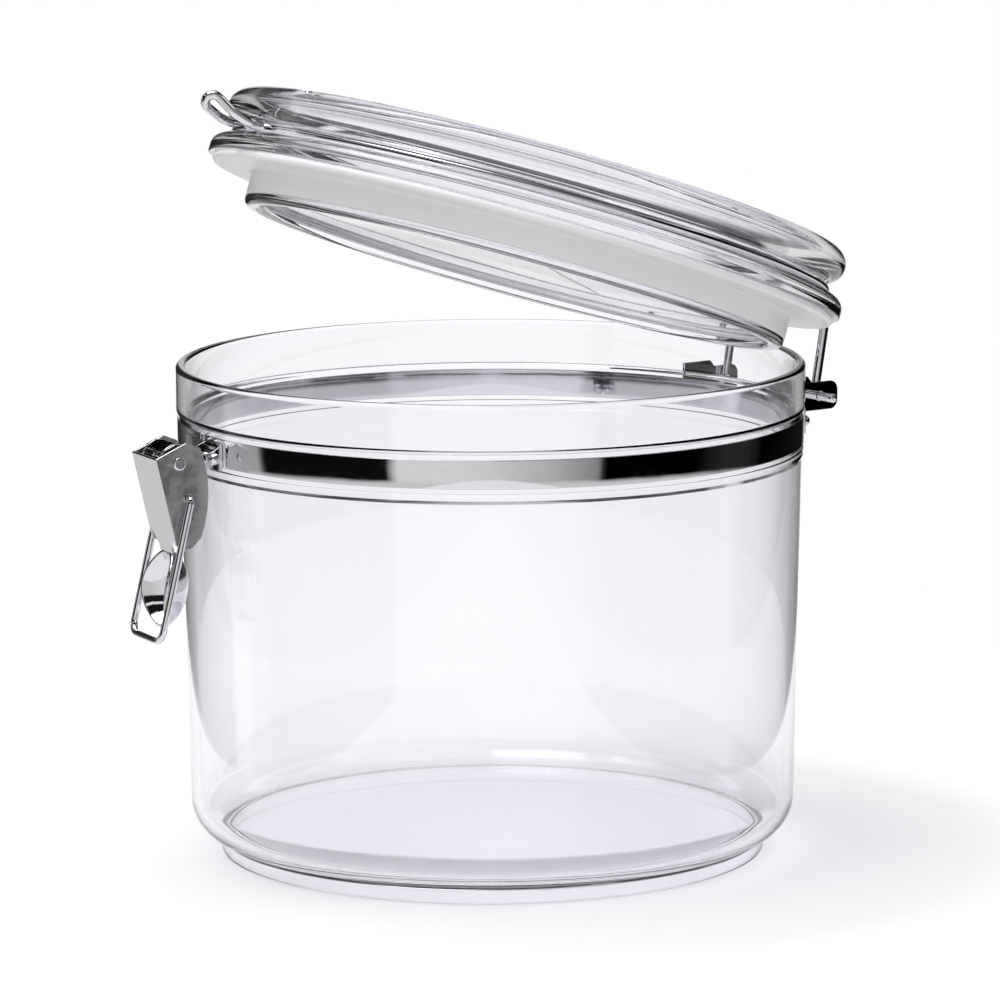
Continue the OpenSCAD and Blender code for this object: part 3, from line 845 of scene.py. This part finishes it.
@dataclass
class Jar:
    """The clear jar and the steel band in its neck."""

    sizes: Sizes
    wardrobe: Wardrobe
    foot_side_h: float = 4.2
    foot_edge_r: float = 0.6
    soft_r: float = 0.5
    ledge_over: float = 0.5
    ledge_rise: float = 1.2
    collar_low_r: float = 1.0
    mouth_lift: float = 1.3
    mouth_slope_h: float = 1.5
    mouth_r: float = 0.8
    arc_skip: float = 3.0
    band_edge_r: float = 0.25
    band_steps: int = 360

    def shell_outline(self) -> np.ndarray:
        """Outline of the jar: foot ring, base corner, drafted wall, ledge, seat and collar."""
        s = self.sizes
        foot_r = s.base_r - s.foot_inset
        foot_in = foot_r - s.foot_w
        corner = s.base_r - s.base_corner_r
        start = -math.degrees(math.acos((foot_r - corner) / s.base_corner_r))
        inner_corner = s.base_corner_r - s.wall_t
        inside = s.body_top_r - s.wall_t
        mouth_low = s.jar_h - s.collar_h + self.mouth_lift
        floor, half = s.foot_h + s.floor_t, s.wall_t / 2
        ledge_r = s.body_top_r + self.ledge_over
        outline = Profile().to(0, s.foot_h).to(foot_in, s.foot_h, self.soft_r)
        outline.to(foot_in, 0, self.foot_edge_r).to(foot_r, 0, self.foot_edge_r)
        outline.to(foot_r, self.foot_side_h, self.soft_r)
        outline.arc(corner, s.base_z, s.base_corner_r, start + self.arc_skip, 0, 24)
        outline.to(s.body_top_r, s.ledge_low, 0.6)
        outline.to(ledge_r, s.ledge_low + self.ledge_rise, self.soft_r)
        outline.to(ledge_r, s.ledge_top, 0.3).to(s.seat_r, s.ledge_top)
        outline.to(s.seat_r, s.collar_z, 0.25).to(s.collar_r, s.collar_z, self.collar_low_r)
        outline.arc(s.collar_r - half, s.jar_h - half, half, 0, 180, 20)
        outline.to(s.collar_r - s.wall_t, mouth_low, self.mouth_r)
        outline.to(inside, mouth_low - self.mouth_slope_h, self.mouth_r)
        outline.to(inside, s.ledge_low, 1.0)
        outline.arc(corner, floor + inner_corner, inner_corner, 0, -90, 20)
        return outline.to(0, floor).points()

    def band(self) -> Object:
        """Makes the band: a thin strip with rolled edges, turned round all but its end gap."""
        s = self.sizes
        top, r = s.band_z + s.band_h, s.band_r + s.band_t
        e = self.band_edge_r
        middle_r, nearly = s.band_r + s.band_t / 2, 0.01
        loop = Profile().to(middle_r, s.band_z)
        loop.to(r, s.band_z, e).to(r, top, e).to(s.band_r, top, e).to(s.band_r, s.band_z, e)
        loop.to(middle_r - nearly, s.band_z)
        ring = loop.points(4)
        gap = math.degrees(s.band_end_gap / r / 2)
        middle = 270.0 - s.latch_turn
        steps = self.band_steps
        angles = np.radians(np.linspace(middle + gap, middle + 360.0 - gap, steps))
        faces = grid_faces(steps, len(ring), False, True).tolist() + end_caps(steps, len(ring))
        return new_piece("neck_band_strip", turned(ring, angles), faces)

    def build(self) -> None:
        """Builds and seats the jar and its band."""
        shell = revolved("jar_shell", self.shell_outline())
        self.wardrobe.seat(shell, Finish.ACRYLIC, "base", "jar")
        self.wardrobe.seat(self.band(), Finish.STEEL, "base", "neck_band")


@dataclass
class Lid:
    """The hollow lid: plug pan with its flange, dome, and gasket."""

    sizes: Sizes
    wardrobe: Wardrobe
    flange_corner_r: float = 4.0
    lip_r: float = 2.2
    lip_slope: float = 0.4
    sleeve_short: float = 3.0
    gasket_over: float = 1.8
    dome_foot_r: float = 0.6
    dome_top_r: float = 1.0

    @property
    def sleeve_z(self) -> float:
        """Height of the lower end of the gasket's sleeve when the lid is closed."""
        return self.sizes.closed_z - (self.sizes.plug_depth - self.sleeve_short)

    def insert_outline(self) -> np.ndarray:
        """Outline of the lower half: recess, rounded lip, flange and the groove's wall."""
        s = self.sizes
        low = s.closed_z - s.plug_depth
        pan_r = s.plug_r - s.sleeve_t - s.seated
        pan_in = pan_r - s.shell_t
        recess = low + s.plug_recess
        sleeve, under = self.sleeve_z - s.seated, s.flange_z + s.seated
        flange_r, lip_in = s.collar_r + s.flange_over, s.plug_r - s.plug_lip_w
        shelf, wall_in = s.flange_top - s.shell_t / 2, s.waist_r - s.shell_t
        c = self.flange_corner_r
        outline = Profile().to(0, recess).to(lip_in - self.lip_slope, recess, 1.0)
        outline.to(lip_in, low, self.lip_r).to(s.plug_r, low, self.lip_r)
        outline.to(s.plug_r, sleeve, 0.2).to(pan_r, sleeve)
        outline.to(pan_r, under, 0.2).to(flange_r, under, 0.5)
        outline.arc(flange_r - c, s.flange_top - c, c, 0, 90, 18)
        outline.to(s.waist_r, s.flange_top, 0.3).to(s.waist_r, s.waist_top, 0.1)
        outline.to(wall_in, s.waist_top, 0.1).to(wall_in, shelf, 0.8).to(pan_in, shelf, 1.0)
        outline.to(pan_in, recess + s.shell_t, 1.2).to(0, recess + s.shell_t)
        return outline.points()

    def dome(self) -> Object:
        """Makes the upper half as one closed shell: a thick rounded edge and a flat thin top.

        Its outline is drawn from the groove's wall, and then run from the axis to the axis.
        """
        s = self.sizes
        foot, edge = s.waist_top + s.seated, s.dome_h / 2
        middle, wall = s.dome_r - edge, s.waist_r - s.shell_t
        top = foot + s.dome_h
        over = Profile().to(wall, foot).to(middle - self.dome_foot_r, foot, 0.1)
        over.arc(middle, foot + edge, edge, -86, 86, 40)
        over.to(middle - self.dome_top_r, top).to(0, top)
        under = Profile().to(0, top - s.shell_t).to(wall, top - s.shell_t, 2.0).to(wall, foot)
        outline = np.concatenate([over.points()[1:], under.points(8)])
        axis_end = int(np.argmin(outline[:, 0]))
        return revolved("lid_dome_shell", np.roll(outline, -1 - axis_end, axis=0))

    def gasket_outline(self) -> np.ndarray:
        """Outline of the gasket: a sleeve round the plug and a flat ring with a round edge."""
        s = self.sizes
        inner, outer, ring = s.plug_r - s.sleeve_t, s.plug_r, s.collar_r + self.gasket_over
        low, half = self.sleeve_z, s.gasket_t / 2
        outline = Profile().to(inner, low + 1).to(inner, low).to(outer, low, 0.5)
        outline.to(outer, s.closed_z, 1.4).to(ring - half - 1, s.closed_z)
        outline.arc(ring - half, s.closed_z + half, half, -85, 85, 14)
        return outline.to(inner, s.flange_z).points(8)

    def build(self) -> None:
        """Builds the lid's three pieces closed, and opens them with the hinge."""
        made = {
            "lid_insert": (revolved("lid_insert_shell", self.insert_outline()), Finish.ACRYLIC),
            "lid_dome": (self.dome(), Finish.ACRYLIC),
            "gasket": (revolved("gasket_ring", self.gasket_outline()), Finish.SILICONE),
        }
        for node, (piece, finish) in made.items():
            move_vertices(piece, self.sizes.open_lid)
            self.wardrobe.seat(piece, finish, "lid", node)


@dataclass
class Bail:
    """The bail's wire: hinge pins, legs, ring in the groove and the front eye."""

    sizes: Sizes
    wardrobe: Wardrobe
    eye_half_w: float = 12.0
    ring_steps: tuple[int, int] = (122, 110)

    @property
    def leg_x(self) -> float:
        """Distance of each leg from the middle."""
        s = self.sizes
        return s.ear_x - s.plate_t - (s.bail_d / 2 + s.side_gap)

    @property
    def entry_turn(self) -> float:
        """Angle from +Y, in radians, at which each side runs into the ring."""
        b = self.sizes.bail_bend_r
        return math.asin((self.leg_x + b) / (self.sizes.ring_r + b))

    def side_path(self) -> np.ndarray:
        """Path of one side: pin, tight bend, leaning leg, bend over the lid, bend into the ring.

        Each bend is an arc between two headings.
        """
        s = self.sizes
        lean = math.radians(s.leg_lean)
        up = np.array([0.0, -math.sin(lean), math.cos(lean)])
        b, ear_in = s.bail_bend_r, s.ear_x - s.plate_t
        tight, leg_x, a = s.bail_d / 2 + s.side_gap, self.leg_x, self.entry_turn
        leg_top = s.ring_z - b + b * math.sin(lean)
        over_y = s.hinge_y - (leg_top - s.hinge_z) * math.tan(lean) - b * math.cos(lean)
        x, y, z = np.eye(3)
        pin = np.array([s.ear_x + s.pin_over, s.hinge_y, s.hinge_z])
        corner = np.array([leg_x + tight, s.hinge_y, s.hinge_z]) + tight * up
        shoulder = np.array([leg_x, over_y, s.ring_z - b])
        entry = (s.ring_r + b) * np.array([math.sin(a), math.cos(a), 0.0]) + s.ring_z * z
        return np.concatenate([
            np.linspace(pin, [ear_in + s.path_gap, s.hinge_y, s.hinge_z], 8),
            arc_points(corner, -up, -x, tight, 0, 90, 10),
            arc_points(shoulder, y, z, b, s.leg_lean, 90, 14),
            arc_points(entry, x, y, b, 180, 270 - math.degrees(a), 12),
        ])

    def ring_path(self, start: float, end: float, count: int) -> np.ndarray:
        """Stretch of the ring between two angles from +Y round through +X."""
        s = self.sizes
        a = np.radians(np.linspace(start, end, count))
        return np.stack([s.ring_r * np.sin(a), s.ring_r * np.cos(a), s.ring_z + 0 * a], axis=1)

    def eye_path(self) -> np.ndarray:
        """Path of the eye, from places given as (side, out, up) from the ring's front."""
        s = self.sizes
        w, r, z = self.eye_half_w, s.eye_reach, s.eye_rise
        flat = math.sqrt(s.ring_r**2 - w**2) - s.ring_r
        places = np.array([
            [1.4 * w, 1.9 * flat, 0], [w, flat, 0], [8, 0.3, 0], [5, 0.1 * r, 0],
            [4.4, 0.22 * r, 0], [4, 0.34 * r, 0.04 * z], [3.4, 0.46 * r, 0.17 * z],
            [2.8, 0.61 * r, 0.37 * z], [2.2, 0.74 * r, 0.67 * z], [1.6, 0.87 * r, 0.96 * z],
            [1, 0.94 * r, 0.98 * z], [0.3, 0.995 * r, 0.78 * z], [-0.4, 0.995 * r, 0.49 * z],
            [-1.1, 0.94 * r, 0.28 * z], [-1.8, 0.81 * r, 0.09 * z], [-2.5, 0.67 * r, -0.09 * z],
            [-3.1, 0.54 * r, -0.15 * z], [-3.8, 0.39 * r, -0.13 * z], [-5, 0.22 * r, 0],
            [-8, 0.3, 0], [-w, flat, 0], [-1.4 * w, 1.9 * flat, 0]])
        curve = curve_through(places)
        local = np.stack([-curve[:, 0], s.ring_r + curve[:, 1], s.ring_z + curve[:, 2]], axis=1)
        return s.at_latch(local)

    def path(self) -> np.ndarray:
        """The whole wire's path with the lid closed, from pin to pin."""
        s = self.sizes
        side, start = self.side_path(), math.degrees(self.entry_turn)
        half = math.degrees(math.asin(self.eye_half_w / s.ring_r))
        eye = 180.0 + s.latch_turn
        return np.concatenate([
            side, self.ring_path(start, eye - half, self.ring_steps[0])[1:-1], self.eye_path(),
            self.ring_path(eye + half, 360.0 - start, self.ring_steps[1])[:-1],
            side[::-1] * [-1, 1, 1]])

    def build(self) -> None:
        """Builds the wire closed, and opens it with the hinge."""
        radius = self.sizes.bail_d / 2 - self.sizes.wire_slim
        piece = swept_wire("bail_wire", self.path(), radius, (0, 0, 1))
        move_vertices(piece, self.sizes.open_lid)
        self.wardrobe.seat(piece, Finish.STEEL, "lid", "bail")


@dataclass
class Latch:
    """The toggle latch: folded lever with its thumb tab, and the wire link."""

    sizes: Sizes
    wardrobe: Wardrobe
    link_corner_r: float = 4.0
    link_over: float = 0.4
    link_end_gap: float = 0.8
    link_hole_turn: float = 15.2
    front_out: float = 7.3
    neck_in: float = 0.95
    spoon_in: float = 1.0
    spoon_bowl: float = 0.88
    spoon_depth: float = 10.5
    spoon_power: float = 0.8
    spoon_lip_t: float = 0.6
    spoon_bow: float = 3.6
    spoon_fall: float = 0.7
    spoon_over: float = 1.2

    def link_path(self) -> np.ndarray:
        """Path of the link: end pin, bend, leg, rounded corner, bar, and back."""
        s = self.sizes
        r = s.link_d / 2
        out = s.lever_w / 2 + s.side_gap + r + self.link_over
        bend, c = r + s.side_gap, self.link_corner_r
        inner = s.lever_w / 2 - s.lever_t - self.link_end_gap
        x, _, z = np.eye(3)
        half = np.concatenate([
            np.linspace([inner, 0, 0], [out - bend - s.path_gap, 0, 0], 5),
            arc_points(np.array([out - bend, 0, -bend]), x, z, bend, 90, 0, 10),
            arc_points(np.array([out - c, 0, c - s.link_len]), x, z, c, 0, -90, 14)])
        return np.concatenate([half, half[::-1] * [-1, 1, 1]])

    def link(self) -> Object:
        """Makes the link, hung from its holes in the lever."""
        s = self.sizes
        radius = s.link_d / 2 - s.wire_slim
        piece = swept_wire("latch_link_wire", self.link_path(), radius, (0, 1, 0))
        angle = math.radians(self.link_hole_turn)
        y = s.pivot_y - s.link_drop * math.sin(angle)
        z = s.pivot_z - s.link_drop * math.cos(angle)

        def hang(points: np.ndarray) -> np.ndarray:
            """Leans the link outwards and moves it to its holes."""
            leaned = turn_about_x(points, s.link_lean, 0.0, 0.0)
            return s.at_latch(leaned + [0.0, y, z])

        move_vertices(piece, hang)
        return piece

    def on_lever(self, points: np.ndarray) -> np.ndarray:
        """Takes points from the lever's own frame, about its pivot, to their place at rest."""
        s = self.sizes
        leaned = turn_about_x(points, -s.lever_lean, 0.0, 0.0)
        return s.at_latch(leaned + [0.0, s.pivot_y, s.pivot_z])

    def spoon(self) -> Object:
        """Makes the thumb tab: a deep spoon with a thin rounded lip.

        Its section at a share q of the way to the edge of the bowl lies
        depth (1 - q^2)^power below the lip. The section is turned about the middle and
        stretched to an oval, and the lip bows outwards by bow sin(pi s) and falls by
        fall s at a share s of the way down.
        """
        s = self.sizes
        unit, lip_t = 10.0, self.spoon_lip_t
        back = self.spoon_bowl + s.lever_t / (s.tab_w / 2)
        q = np.linspace(0.0, 1.0, 18)
        deep = (1 - q**2) ** self.spoon_power
        inner = np.stack([self.spoon_bowl * q, -self.spoon_depth * deep], axis=1)
        outer = np.stack([back * q, -(self.spoon_depth + s.lever_t - lip_t) * deep - lip_t], axis=1)
        lip = np.array([[0.985, -0.62], [0.998, -0.5], [1.0, -0.3], [0.994, -0.12],
                        [0.975, -0.02], [0.93, 0.0], [0.9, -0.06]])
        section = np.concatenate([outer, lip, inner[::-1][1:]])
        piece = revolved("lever_spoon", section * [unit, 1.0], 120)

        def shape(points: np.ndarray) -> np.ndarray:
            """Stretches the dish to its oval, bows its lip and hangs it under the neck."""
            x = points[:, 0] / unit * s.tab_w / 2
            half_long = (s.tab_len + self.spoon_over) / 2
            z = -points[:, 1] / unit * half_long - s.tab_len / 2 + self.spoon_over / 2
            down = -z / s.tab_len
            y = points[:, 2] + self.spoon_bow * np.sin(math.pi * down) - self.spoon_fall * down
            kicked = turn_about_x(np.stack([x, y, z], axis=1), s.tab_kick, 0.0, 0.0)
            return self.on_lever(kicked + [0.0, self.front_out, -s.lever_len - self.spoon_in])

        move_vertices(piece, shape)
        return piece

    def build(self) -> None:
        """Builds the link and the thumb tab, and eases the folded and turned parts."""
        self.wardrobe.seat(self.link(), Finish.STEEL, "link", "latch_link")
        # The sideways faces of the lever and its pin wear the satin steel, whose darker colour is
        # painted shade.
        cheeks = self.sizes.at_latch(np.array([1.0, 0.0, 0.0]))
        neck_z, far_down = -self.sizes.lever_len - self.neck_in, -100.0
        neck, below = self.on_lever(np.array([[0.0, 0.0, neck_z], [0.0, 0.0, far_down]]))
        self.wardrobe.ease_node("lever", "latch_lever", 0.25, cheeks, (neck, below - neck))
        self.wardrobe.seat(self.spoon(), Finish.STEEL, "latch_lever", "lever")
        self.wardrobe.ease_node("lever_pin", "base", 0.2, cheeks)
        self.wardrobe.ease_node("latch_bracket", "base", 0.2)
        self.wardrobe.ease_node("latch_rivets", "base", 0.1)


@dataclass
class Hinge:
    """The hinge ears and their rivets."""

    wardrobe: Wardrobe

    def build(self) -> None:
        """Eases the edges of the ears and rivets."""
        eases = {"hinge_ear_right": 0.2, "hinge_ear_left": 0.2, "hinge_rivets": 0.1}
        for name, width in eases.items():
            self.wardrobe.ease_node(name, "base", width)


# ---------------- studio


@dataclass(frozen=True)
class Studio:
    """Camera, floor, light and surroundings."""

    eye_mm: Place = (1478.5, -1051.8, 410.6)
    aim_mm: Place = (1.64, 2.30, 111.8)
    lens_mm: float = 207.5
    roll: float = -0.25
    floor_long: float = 680.0
    floor_wide: float = 220.0
    floor_drop: float = 0.02
    paper: Colour = (0.82, 0.82, 0.83, 1.0)
    paper_glow: float = 0.1
    edge_glow: float = 0.25
    edge_run: Pair = (0.15, 0.215)
    room_level: float = 0.75
    table_level: float = 0.7
    haze: float = 0.62
    high_haze: float = 0.02
    table_run: Pair = (-0.3, -0.25)
    haze_run: Pair = (-0.11, -0.05)
    lift_run: Pair = (0.25, 0.28)
    side_levels: tuple[Pair, ...] = (
        (-180, 1.0), (-174, 1.0), (-169, 0.02), (-160, 0.04), (-150, 0.1), (-145, 0.22),
        (-141, 0.22), (-137, 0.07), (-115, 0.06), (-112, 1.0), (-105, 1.0), (-101, 0.42),
        (-94, 0.4), (-91, 0.004), (-38, 0.004), (-34, 0.8), (-12, 0.8), (0, 0.73), (24, 0.49),
        (39, 0.27), (41, 0.0), (80, 0.0), (96, 0.024), (108, 0.02), (117, 0.0), (160, 0.008),
        (164, 0.02), (168, 0.2), (173, 1.0), (180, 1.0))
    height_levels: tuple[Pair, ...] = (
        (0.28, 0.01), (0.49, 0.01), (0.52, 0.9), (0.58, 0.9), (0.61, 0.01), (0.87, 0.01),
        (0.91, 1.0), (1.0, 1.0))
    lamp_at: Place = (-0.3, -0.55, 2.15)
    lamp_size: Pair = (1.6, 1.2)
    lamp_watts: float = 26.0

    @property
    def facing(self) -> float:
        """Angle round from +X to the camera, in radians."""
        return math.atan2(self.eye_mm[1], self.eye_mm[0])

    @staticmethod
    def looking(eye: Vector, aim: Vector) -> Matrix:
        """Gives the pose of a camera or lamp at one place that faces another."""
        turn = (aim - eye).to_track_quat("-Z", "Y").to_matrix().to_4x4()
        return Matrix.Translation(eye) @ turn

    def camera(self) -> None:
        """Makes the camera."""
        data = bpy.data.cameras.new("view")
        data.lens, data.sensor_width = self.lens_mm, 36.0
        data.clip_start, data.clip_end = 0.05, 50.0
        camera = new_object("view", data)
        pose = self.looking(Vector(self.eye_mm) * MM, Vector(self.aim_mm) * MM)
        camera.matrix_world = pose @ Matrix.Rotation(math.radians(self.roll), 4, "Z")
        bpy.context.scene.camera = camera

    def floor(self) -> None:
        """Makes the pale oval table top, longest towards the camera.

        It glows a little where the camera or a clear piece sees it, and more towards its edge
        for the camera alone, so that it runs into the white beyond it.
        """
        turn = np.linspace(0.0, TAU, 96, endpoint=False)
        along, across = self.floor_long * np.cos(turn), self.floor_wide * np.sin(turn)
        x = along * math.cos(self.facing) - across * math.sin(self.facing)
        y = along * math.sin(self.facing) + across * math.cos(self.facing)
        rim = np.stack([x, y, 0.0 * turn - self.floor_drop], axis=1)
        piece = new_piece("floor", rim, [list(range(len(turn)))], smooth=False)
        material, tree, shader, out = fresh_material(
            "floor_paper", Base_Color=self.paper, Roughness=0.9, Specular_IOR_Level=0.0)
        path = tree.add("ShaderNodeLightPath").outputs
        place = tree.add("ShaderNodeTexCoord").outputs["Object"]
        reach = tree.add("ShaderNodeVectorMath", {0: place}, operation="LENGTH").outputs["Value"]
        fade = tree.fit(reach, self.edge_run, (self.paper_glow, self.edge_glow),
                        interpolation_type="SMOOTHSTEP")
        inside = tree.calc("MULTIPLY", path["Is Transmission Ray"], self.paper_glow)
        strength = tree.calc("MULTIPLY_ADD", path["Is Camera Ray"], fade, inside)
        glow = tree.add("ShaderNodeEmission", {"Color": (1, 1, 1, 1), "Strength": strength})
        both = tree.add("ShaderNodeAddShader", {0: shader.outputs[0], 1: glow.outputs[0]})
        tree.link(both.outputs[0], out.inputs["Surface"])
        piece.data.materials.append(material)

    def surroundings(self) -> None:
        """Makes the world, which the pieces see by direction.

        Near the horizon its level goes by the angle round from the camera: a grey card about
        the camera, black flags beside it, and white behind the object. Above that it goes by
        height: a dark gap, a bright band, another gap and a white ceiling. Well below the
        horizon it is the pale table. The camera sees plain white, matt surfaces are lit by an
        even grey, and what the clear pieces show of it below the horizon is hazed to white.
        """
        world = bpy.data.worlds.new("studio")
        bpy.context.scene.world = world
        world.use_nodes = True
        world.node_tree.nodes.clear()
        tree = Nodes(world.node_tree)
        way = tree.add("ShaderNodeTexCoord").outputs["Generated"]
        parts = tree.add("ShaderNodeSeparateXYZ", {0: way}).outputs
        height = parts["Z"]
        azimuth = tree.calc("ARCTAN2", parts["Y"], parts["X"])
        turned = tree.calc("SUBTRACT", azimuth, self.facing)
        wrapped = tree.calc("WRAP", turned, math.pi, -math.pi)
        sides = tree.add("ShaderNodeValToRGB", {"Fac": tree.fit(wrapped, (-math.pi, math.pi))})
        self.set_levels(sides.color_ramp, [((a + 180.0) / 360.0, b) for a, b in self.side_levels])
        above = tree.add("ShaderNodeValToRGB", {"Fac": height})
        self.set_levels(above.color_ramp, self.height_levels)
        lift = tree.fit(height, self.lift_run)
        tall = tree.blend(lift, sides.outputs["Color"], above.outputs["Color"])
        drop = tree.fit(height, self.table_run, (1.0, 0.0))
        level = tree.blend(drop, tall, self.grey(self.table_level))
        path = tree.add("ShaderNodeLightPath").outputs
        level = tree.blend(path["Is Camera Ray"], level, self.grey(1.0))
        soft = tree.calc("GREATER_THAN", path["Diffuse Depth"], 0.5)
        level = tree.blend(soft, level, self.grey(self.room_level))
        low = tree.fit(height, self.haze_run, (self.haze, self.high_haze))
        through = tree.calc("MULTIPLY", path["Is Transmission Ray"], low)
        level = tree.blend(through, level, self.grey(1.0))
        sky = tree.add("ShaderNodeBackground", {"Color": level, "Strength": 1.0})
        out = tree.add("ShaderNodeOutputWorld")
        tree.link(sky.outputs[0], out.inputs["Surface"])

    @staticmethod
    def grey(level: float) -> Colour:
        """Gives the colour of a grey level."""
        return level, level, level, 1.0

    def set_levels(self, ramp: ColorRamp, stops: list[Pair]) -> None:
        """Sets a ramp's stops to grey levels, faintly blue."""
        while len(ramp.elements) > 1:
            ramp.elements.remove(ramp.elements[-1])
        for k, (place, level) in enumerate(stops):
            stop = ramp.elements[0] if k == 0 else ramp.elements.new(place)
            stop.position = place
            stop.color = (level, level, 1.01 * level, 1.0)

    def lamps(self) -> None:
        """Hangs a broad soft lamp overhead, a little to the left."""
        data = bpy.data.lights.new("overhead", "AREA")
        data.shape, (data.size, data.size_y) = "RECTANGLE", self.lamp_size
        data.energy = self.lamp_watts
        lamp = new_object("overhead", data)
        lamp.matrix_world = self.looking(Vector(self.lamp_at), Vector())

    def build(self) -> None:
        """Builds the studio."""
        self.camera()
        self.floor()
        self.surroundings()
        self.lamps()
        bpy.context.scene.view_settings.view_transform = "Standard"


def main() -> None:
    """Builds every sub-assembly in order."""
    logging.basicConfig(level=logging.INFO, format="%(name)s: %(message)s")
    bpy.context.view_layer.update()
    Studio().build()
    sizes, wardrobe = Sizes(), Wardrobe()
    Jar(sizes, wardrobe).build()
    Lid(sizes, wardrobe).build()
    Bail(sizes, wardrobe).build()
    Latch(sizes, wardrobe).build()
    Hinge(wardrobe).build()


if __name__ == "__main__":
    main()
